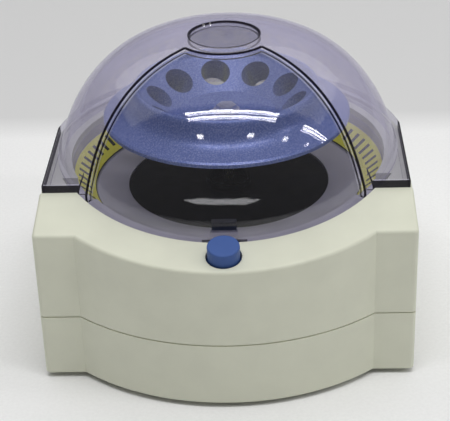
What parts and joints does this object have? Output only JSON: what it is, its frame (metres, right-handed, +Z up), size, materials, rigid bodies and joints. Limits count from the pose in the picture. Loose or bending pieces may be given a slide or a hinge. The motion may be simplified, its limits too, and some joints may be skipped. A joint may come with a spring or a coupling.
{
  "type": "microcentrifuge",
  "caption": "Small bench centrifuge with a hinged clear dome over a blue angled rotor, a sloped front with a round release button, and a two-part moulded housing.",
  "frame": {"origin": "on the table under the rotor's axis, the bottom centre of the overall box", "axes": "+Z up, front towards -Y, +X to the right seen from the front"},
  "size_m": [0.128, 0.152, 0.1042],
  "materials": {
    "housing_plastic": "fine satin grain",
    "black_rubber": "dull",
    "zinc_screw": "bright zinc",
    "bowl_plastic": "fine grain",
    "band_yellow": "printed film",
    "black_plastic": "satin",
    "plate_steel": "zinc plated",
    "can_steel": "nickel plated, satin",
    "ferrite": "ground ferrite",
    "white_nylon": "natural nylon",
    "bronze": "sintered bronze",
    "carbon": "pressed carbon",
    "tinned_brass": "tinned",
    "ground_steel": "ground",
    "lamination_steel": "stacked sheet",
    "copper": "copper",
    "rotor_blue": "blue, finely speckled",
    "bare_aluminium": "turned or extruded",
    "smoky_clear": "smoke-tinted clear acrylic, polished",
    "spring_steel": "drawn wire",
    "button_blue": "satin",
    "clear_glass": "clear",
    "board_green": "solder mask",
    "capacitor_sleeve": "shrink sleeve",
    "chip_black": "moulded resin",
    "nickel_nut": "nickel plated",
    "lead_sleeve": "smooth insulation"
  },
  "bodies": {
    "root": {"base_pan": "housing_plastic", "upper_housing": "housing_plastic", "rubber_feet": "black_rubber", "motor_grommets": "black_rubber", "housing_screws": "zinc_screw", "bowl_screws": "zinc_screw", "plate_screws": "zinc_screw", "motor_face_screws": "zinc_screw", "bracket_screws": "zinc_screw", "board_screws": "zinc_screw", "rotor_bowl": "bowl_plastic", "bowl_band": "band_yellow", "motor_cover": "black_plastic", "switch_case": "black_plastic", "power_jack": "black_plastic", "motor_plate": "plate_steel", "latch_bracket": "plate_steel", "motor_can": "can_steel", "motor_magnets": "ferrite", "motor_end_cap": "white_nylon", "board_headers": "white_nylon", "motor_bushes": "bronze", "motor_brushes": "carbon", "motor_terminals": "tinned_brass", "switch_terminals": "tinned_brass", "jack_pin": "tinned_brass", "fuse_clips": "tinned_brass", "fuse_caps": "tinned_brass", "hinge_pin": "ground_steel", "latch_pin": "ground_steel", "heat_sink": "bare_aluminium", "lid_springs": "spring_steel", "latch_spring": "spring_steel", "reed_switch": "clear_glass", "fuse_glass": "clear_glass", "circuit_board": "board_green", "board_capacitor": "capacitor_sleeve", "power_transistor": "chip_black", "jack_nut": "nickel_nut", "motor_leads": "lead_sleeve", "power_leads": "lead_sleeve", "reed_leads": "lead_sleeve"},
    "lid": {"lid_shell": "smoky_clear", "lid_magnet": "ferrite"},
    "rotor_group": {"rotor": "rotor_blue", "rotor_hub": "bare_aluminium", "rotor_screw": "ground_steel", "motor_shaft": "ground_steel", "armature_core": "lamination_steel", "armature_windings": "copper", "commutator": "copper"},
    "button": {"release_button": "button_blue"},
    "latch": {"latch_lever": "white_nylon"},
    "rocker": {"switch_rocker": "black_plastic"}
  },
  "joints": [
    {"name": "lid_hinge", "type": "hinge", "parent": "root", "child": "lid", "pos_m": [0, 0.0685, 0.0637], "axis": [-1, 0, 0], "range_deg": [0, 85]},
    {"name": "rotor_spin", "type": "hinge", "parent": "root", "child": "rotor_group", "pos_m": [0, 0, 0.05], "axis": [0, 0, 1], "continuous": true},
    {"name": "button_press", "type": "slide", "parent": "root", "child": "button", "axis": [0, 0.1874, -0.9823], "range_m": [0, 0.002], "stiffness_N_per_m": 400},
    {"name": "latch_pivot", "type": "hinge", "parent": "root", "child": "latch", "pos_m": [0, -0.058, 0.03], "axis": [1, 0, 0], "range_deg": [0, 12.6], "deforming": ["latch_spring"]},
    {"name": "rocker_tilt", "type": "hinge", "parent": "root", "child": "rocker", "pos_m": [0.013, 0.0719, 0.0135], "axis": [0, 0, 1], "range_deg": [-16, 0]}
  ],
  "couplings": [
    {"joint": "latch_pivot", "follows": "button_press", "rad_per_m": 108}
  ]
}
